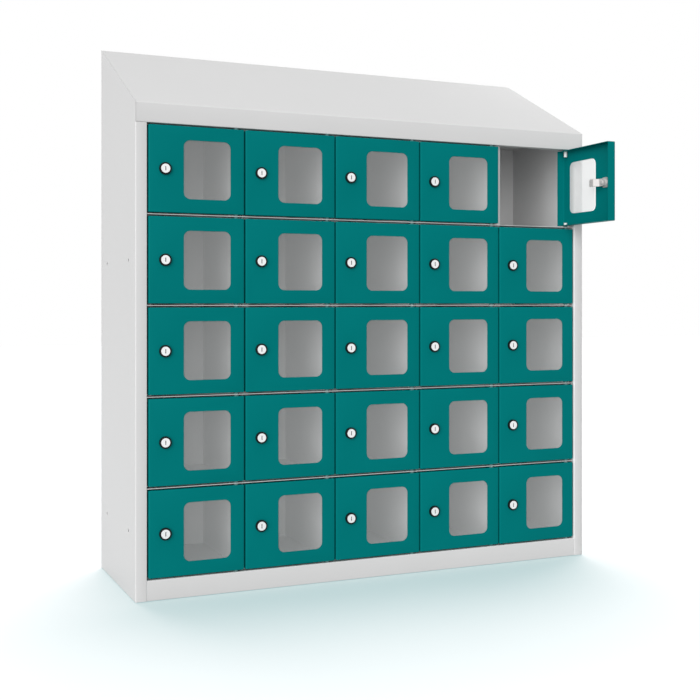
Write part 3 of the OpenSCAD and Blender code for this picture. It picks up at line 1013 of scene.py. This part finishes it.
class LOCKER_OT_window_panes(bpy.types.Operator):
    """Cuts a clear sheet with round corners for each door. Its rim is bonded and shows no painted reflection
    """

    bl_idname = "locker.window_panes"
    bl_label = "Window panes"

    def execute(self, context):
        doors = context.scene.locker_doors
        bm = bmesh.new()
        w, h = doors.window_w + 2 * doors.pane_overlap, doors.window_h + 2 * doors.pane_overlap
        front = FACE + SHEET + doors.seat
        outline = rounded_outline(window_middle(doors, front), w, h, doors.pane_r, steps=5)
        face = flat_face(bm, outline, -Y)
        shift_new(bm, bmesh.ops.extrude_face_region(bm, geom=[face])["geom"], doors.pane_t * Y)
        solid(bm)
        bm.normal_update()
        rim = pierce(bm, face_towards(bm, Y), [window_outline(doors, front + doors.pane_t)])[0]
        # The front face takes the painted reflection of the front, the rim none, and the face inside the
        # window that of the back.
        for face in bm.faces:
            face.material_index = 0 if face.normal.y < -ALONG else 2
        inside = bmesh.ops.contextual_create(bm, geom=rim)["faces"][0]
        inside.material_index = 1
        solid(bm)
        add_to_each(HINGES, "pane", bm, "window_pane", ["window_pane", "pane_inside_reflection", "pane_rim"])
        return {"FINISHED"}


class LOCKER_OT_hinge_bushes(bpy.types.Operator):
    """Turns the upper and lower bush of each door, each with its collar outside the door"""

    bl_idname = "locker.hinge_bushes"
    bl_label = "Hinge bushes"

    def execute(self, context):
        doors, hinges = context.scene.locker_doors, context.scene.locker_hinges
        bm = bmesh.new()
        bore = hinges.pin_r + hinges.fit
        edge = (hinges.collar_r - hinges.bush_r) / 4
        collar_l = GAP - hinges.collar_gap
        for end, sleeve in ((-1, hinges.lower_l), (1, hinges.upper_l)):
            profile = [
                (bore, 0), (hinges.collar_r - edge, 0), (hinges.collar_r, edge),
                (hinges.collar_r, collar_l - doors.seat), (hinges.bush_r, collar_l - doors.seat),
                (hinges.bush_r, collar_l + sleeve - edge), (hinges.bush_r - edge, collar_l + sleeve),
                (bore, collar_l + sleeve), (bore, 0),
            ]
            lathe(bm, profile, end * (DOOR_H / 2 + collar_l) * Z, -end * Z, sides=28)
        solid(bm)
        # The collars outside the door take the second finish, dark teal painted shade for the row gap.
        for face in bm.faces:
            face.material_index = int(abs(face.calc_center_median().z) > DOOR_H / 2)
        add_to_each(HINGES, "bushes", bm, "nylon", ["nylon", "gap_shade_nylon"])
        return {"FINISHED"}


class LOCKER_OT_lock_housings(bpy.types.Operator):
    """Turns a black collar for the front of each door, and the threaded barrel behind it"""

    bl_idname = "locker.lock_housings"
    bl_label = "Lock housings"

    def execute(self, context):
        scene = context.scene
        doors, hinges, locks = scene.locker_doors, scene.locker_hinges, scene.locker_locks
        bm = bmesh.new()
        front, back = -locks.collar_proud, locks.barrel_l
        bore, well = locks.plug_r + hinges.fit, locks.face_r + hinges.fit
        recess = front - locks.face_proud + locks.face_t + hinges.fit
        lip = locks.collar_proud / 6
        profile = [
            (bore, back), (bore, recess), (well, recess),
            (well, front + lip / 3), (well + lip / 3, front), (locks.collar_r - lip, front),
        ]
        for t in quarter(4)[1:]:
            profile.append((locks.collar_r - lip + lip * math.sin(t), front + lip - lip * math.cos(t)))
        profile += [(locks.collar_r, -doors.seat), (locks.barrel_r, -doors.seat)]
        depth = locks.thread_pitch / 2
        start = SHEET + doors.seat + locks.nut_t
        profile.append((locks.barrel_r, start))
        for k in range(int((back - start) / locks.thread_pitch)):
            y = start + k * locks.thread_pitch
            profile += [(locks.barrel_r - depth, y + depth), (locks.barrel_r, y + locks.thread_pitch)]
        profile += [(locks.barrel_r - depth, back), (bore, back)]
        lathe(bm, profile, at(LOCK_X, FACE, 0), Y, sides=48)
        solid(bm)
        for face in bm.faces:
            face.material_index = int(face.calc_center_median().y > FACE + SHEET)
        add_to_each(HINGES, "lock_housing", bm, "lock_collar", ["lock_collar", "dull_zinc"])
        return {"FINISHED"}


class LOCKER_OT_lock_nuts(bpy.types.Operator):
    """Makes the hexagon nuts that clamp the housings to the doors"""

    bl_idname = "locker.lock_nuts"
    bl_label = "Lock nuts"

    def execute(self, context):
        scene = context.scene
        doors, hinges, locks = scene.locker_doors, scene.locker_hinges, scene.locker_locks
        bm = bmesh.new()
        middle = at(LOCK_X, FACE + SHEET + doors.seat, 0)
        face = flat_face(bm, ring(middle, locks.nut_af / math.sqrt(3), X, Z, sides=6), -Y)
        pierce(bm, face, [ring(middle, locks.barrel_r + hinges.fit, X, Z, sides=48)])
        new = bmesh.ops.extrude_face_region(bm, geom=list(bm.faces))["geom"]
        shift_new(bm, new, locks.nut_t * Y)
        solid(bm)
        for piece in add_to_each(HINGES, "lock_nut", bm, "zinc", ["dull_zinc"]):
            soften(piece, 2 * scene.locker_carcass.cut_radius)
        return {"FINISHED"}


class LOCKER_OT_lock_plugs(bpy.types.Operator):
    """Turns the cores that the keys turn: a flat face with a key slot, and the body that carries the cam"""

    bl_idname = "locker.lock_plugs"
    bl_label = "Lock plugs"

    def execute(self, context):
        hinges, locks = context.scene.locker_hinges, context.scene.locker_locks
        bm = bmesh.new()
        proud = locks.collar_proud + locks.face_proud
        edge = locks.face_proud / 2
        body_l = proud + locks.barrel_l + hinges.fit
        centre = at(LOCK_X, FACE - proud, 0)
        profile = [
            (locks.face_r - edge, 0), (locks.face_r, edge), (locks.face_r, locks.face_t),
            (locks.plug_r, locks.face_t), (locks.plug_r, body_l), (0, body_l),
        ]
        lathe(bm, profile, centre, Y, sides=48)
        slot = rounded_outline(centre, locks.slot_w, locks.slot_h, locks.slot_w / 4, steps=2)
        rim = pierce(bm, cap(bm, -Y), [slot])[0]
        # The slot's walls and floor take the second finish, a dark colour painted as shade inside the key
        # slot.
        sink(bm, rim, locks.slot_d * Y, material_index=1)
        solid(bm)
        add_to_each(TURNS, "plug", bm, "zinc", ["zinc", "keyway_shade"])
        return {"FINISHED"}


class LOCKER_OT_lock_cams(bpy.types.Operator):
    """Bends the cranked cams on the ends of the plugs"""

    bl_idname = "locker.lock_cams"
    bl_label = "Lock cams"

    def execute(self, context):
        scene = context.scene
        doors, hinges, locks = scene.locker_doors, scene.locker_hinges, scene.locker_locks
        bm = bmesh.new()
        hub_y = FACE + locks.barrel_l + hinges.fit + doors.seat
        tip_y = FACE + locks.cam_tip
        half = locks.cam_w / 2
        start, end = LOCK_X + locks.crank_start, LOCK_X + locks.crank_end
        turns = [2 * t for t in quarter(16)]
        hub = [at(LOCK_X - half * math.sin(t), hub_y, half * math.cos(t)) for t in turns]
        crank = [at(start, hub_y, -half), at(start, hub_y, half)]
        drop = [at(end, tip_y, half), at(end, tip_y, -half)]
        corner = locks.cam_t
        tip = []
        for side in (-1, 1):
            for t in quarter(4)[::-side]:
                x = LOCK_X + locks.cam_reach - corner + corner * math.sin(t)
                tip.append(at(x, tip_y, side * (half - corner + corner * math.cos(t))))
        for points in (hub + crank, crank[::-1] + drop[::-1], drop + tip):
            flat_face(bm, points, -Y)
        bmesh.ops.remove_doubles(bm, verts=bm.verts, dist=WELD)
        fold(bm, locks.cam_fold, locks.cam_t, segments=3)
        for piece in add_to_each(TURNS, "cam", bm, "zinc", ["dull_zinc"]):
            thicken(piece, locks.cam_t, 2 * scene.locker_carcass.cut_radius)
        return {"FINISHED"}


class LOCKER_OT_cam_screws(bpy.types.Operator):
    """Turns the domed screws that hold the cams, each with a cross recess"""

    bl_idname = "locker.cam_screws"
    bl_label = "Cam screws"

    def execute(self, context):
        scene = context.scene
        doors, hinges, locks = scene.locker_doors, scene.locker_hinges, scene.locker_locks
        bm = bmesh.new()
        seat_y = FACE + locks.barrel_l + hinges.fit + 2 * doors.seat + locks.cam_t
        centre = at(LOCK_X, seat_y, 0)
        radius, height = locks.screw_head_r, locks.screw_head_h
        flat_r, edge_h = 0.55 * radius, 0.45 * height
        profile = [(0, 0), (radius, 0), (radius, edge_h)]
        for t in quarter(5)[1:]:
            dome = (flat_r + (radius - flat_r) * math.cos(t), edge_h + (height - edge_h) * math.sin(t))
            profile.append(dome)
        lathe(bm, profile, centre, Y, sides=32)
        arm, wide = 0.85 * flat_r, 0.09 * radius
        steps = [(arm, wide), (wide, wide), (wide, arm), (-wide, arm), (-wide, wide), (-arm, wide)]
        cross = steps + [(-u, -w) for u, w in steps]
        outline = [centre + height * Y + u * X + w * Z for u, w in cross]
        rim = pierce(bm, cap(bm, Y), [outline])[0]
        sink(bm, rim, -height / 2 * Y)
        solid(bm)
        add_to_each(TURNS, "cam_screw", bm, "zinc", ["dull_zinc"])
        return {"FINISHED"}


class LOCKER_OT_stage(bpy.types.Operator):
    """Sets the floor, the soft light and the camera"""

    bl_idname = "locker.stage"
    bl_label = "Stage"

    def execute(self, context):
        stage = context.scene.locker_stage
        self.floor(context, stage)
        self.surroundings(context, stage)
        self.lamps(context, stage)
        self.camera(context, stage)
        context.scene.view_settings.view_transform = "Standard"
        return {"FINISHED"}

    def floor(self, context, stage):
        """Pale paper that is seen from above and carries no light. The glow fills its shadow."""
        # The teal glow and reddish paper make the floor's shadow come out teal: a painted tint in the shade.
        make = new_material("studio_floor")
        shine = make("ShaderNodeEmission", {"Color": rgba(stage.floor_glow)}).outputs[0]
        paper = make("ShaderNodeBsdfDiffuse", {"Color": rgba(stage.floor)}).outputs[0]
        both = make("ShaderNodeAddShader", {0: paper, 1: shine}).outputs[0]
        clear = make("ShaderNodeBsdfTransparent").outputs[0]
        show(make, make("ShaderNodeMixShader", {0: seen_front(make), 1: clear, 2: both}))
        bm = bmesh.new()
        bmesh.ops.create_grid(bm, x_segments=1, y_segments=1, size=stage.floor_size / 2)
        bmesh.ops.translate(bm, vec=(BOTTOM - stage.floor_gap) * Z, verts=bm.verts)
        mesh = bpy.data.meshes.new("studio_floor")
        bm.to_mesh(mesh)
        bm.free()
        mesh.materials.append(MATERIALS["studio_floor"])
        floor = bpy.data.objects.new("studio_floor", mesh)
        context.scene.collection.objects.link(floor)

    def surroundings(self, context, stage):
        """White where it is seen, and a weak even light where it isn't."""
        world = bpy.data.worlds.new("studio")
        world.use_nodes = True
        world.node_tree.nodes.clear()
        make = node_maker(world.node_tree)
        white = (1.0, 1.0, 1.0, 1.0)
        light = make("ShaderNodeBackground", {"Color": white, "Strength": stage.sky}).outputs[0]
        seen = make("ShaderNodeBackground", {"Color": white, "Strength": 1.0}).outputs[0]
        mixed = make("ShaderNodeMixShader", {0: seen_rays(make), 1: light, 2: seen}).outputs[0]
        make("ShaderNodeOutputWorld", {"Surface": mixed})
        context.scene.world = world

    def lamps(self, context, stage):
        """Soft suns. Some light only the floor or the right side panel, and the others leave them out."""
        floor, panel = "studio_floor", "right_side_sheet"
        # Strength; spread, rise above level and turn to the left of the front, in degrees; what is lit
        rows = {
            "key_lamp": (stage.key, 60, 14, 38, "EXCLUDE", [floor, panel]),
            "wall_lamp": (stage.wall, 60, 14, 55, "INCLUDE", [panel]),
            "side_lamp": (stage.side, 60, 20, 85, "EXCLUDE", [floor]),
            "top_lamp": (stage.top, 60, 90, 0, "EXCLUDE", [floor]),
            "fill_lamp": (stage.fill, 60, 5, 235, "EXCLUDE", [floor]),
            "floor_lamp": (stage.overhead, 50, 90, 0, "INCLUDE", [floor]),
            "rear_floor_lamp": (stage.behind, 45, 60, 202, "INCLUDE", [floor]),
        }
        for name, (energy, spread, rise, turn, state, linked) in rows.items():
            data = bpy.data.lights.new(name, "SUN")
            data.energy = energy
            data.angle = math.radians(spread)
            lamp = bpy.data.objects.new(name, data)
            lamp.rotation_euler = (math.radians(90 - rise), 0, math.radians(-turn))
            lit = bpy.data.collections.new(f"lit_by_{name}")
            for k, piece in enumerate(linked):
                lit.objects.link(bpy.data.objects[piece])
                lit.collection_objects[k].light_linking.link_state = state
            lamp.light_linking.receiver_collection = lit
            context.scene.collection.objects.link(lamp)

    def camera(self, context, stage):
        """A level camera at the photo's angle, with its lens risen or lowered."""
        data = bpy.data.cameras.new("camera")
        data.lens = stage.lens
        data.sensor_width = stage.sensor
        data.shift_y = stage.shift
        data.clip_start = 0.05
        data.clip_end = 100.0
        camera = bpy.data.objects.new("camera", data)
        camera.location = stage.camera
        camera.rotation_euler = (math.radians(90), 0, -stage.turn)
        context.scene.collection.objects.link(camera)
        context.scene.camera = camera


STEPS = (
    LOCKER_OT_finishes,
    LOCKER_OT_side_panels,
    LOCKER_OT_top_cover,
    LOCKER_OT_base_panel,
    LOCKER_OT_back_panel,
    LOCKER_OT_ceiling_panel,
    LOCKER_OT_wall_rails,
    LOCKER_OT_shelves,
    LOCKER_OT_dividers,
    LOCKER_OT_hinge_pins,
    LOCKER_OT_door_pans,
    LOCKER_OT_window_panes,
    LOCKER_OT_hinge_bushes,
    LOCKER_OT_lock_housings,
    LOCKER_OT_lock_nuts,
    LOCKER_OT_lock_plugs,
    LOCKER_OT_lock_cams,
    LOCKER_OT_cam_screws,
    LOCKER_OT_stage,
)
SETTINGS = {
    "locker_carcass": CarcassSettings,
    "locker_rails": RailSettings,
    "locker_doors": DoorSettings,
    "locker_hinges": HingeSettings,
    "locker_locks": LockSettings,
    "locker_finishes": FinishSettings,
    "locker_stage": StageSettings,
}


class LOCKER_PT_panel(bpy.types.Panel):
    """Lists the steps and the settings"""

    bl_idname = "LOCKER_PT_panel"
    bl_label = "Phone Locker"
    bl_space_type = "VIEW_3D"
    bl_region_type = "UI"
    bl_category = "Locker"

    def draw(self, context):
        for step in STEPS:
            self.layout.operator(step.bl_idname)
        for name, group in SETTINGS.items():
            box = self.layout.box()
            box.label(text=name.replace("_", " ").capitalize())
            for key in group.__annotations__:
                box.prop(getattr(context.scene, name), key)


def register():
    for group in SETTINGS.values():
        bpy.utils.register_class(group)
    for step in STEPS:
        bpy.utils.register_class(step)
    bpy.utils.register_class(LOCKER_PT_panel)
    for name, group in SETTINGS.items():
        setattr(bpy.types.Scene, name, PointerProperty(type=group))


def unregister():
    for name in SETTINGS:
        delattr(bpy.types.Scene, name)
    bpy.utils.unregister_class(LOCKER_PT_panel)
    for step in reversed(STEPS):
        bpy.utils.unregister_class(step)
    for group in reversed(list(SETTINGS.values())):
        bpy.utils.unregister_class(group)


def main():
    register()
    for step in STEPS:
        category, name = step.bl_idname.split(".")
        getattr(getattr(bpy.ops, category), name)()


if __name__ == "__main__":
    main()
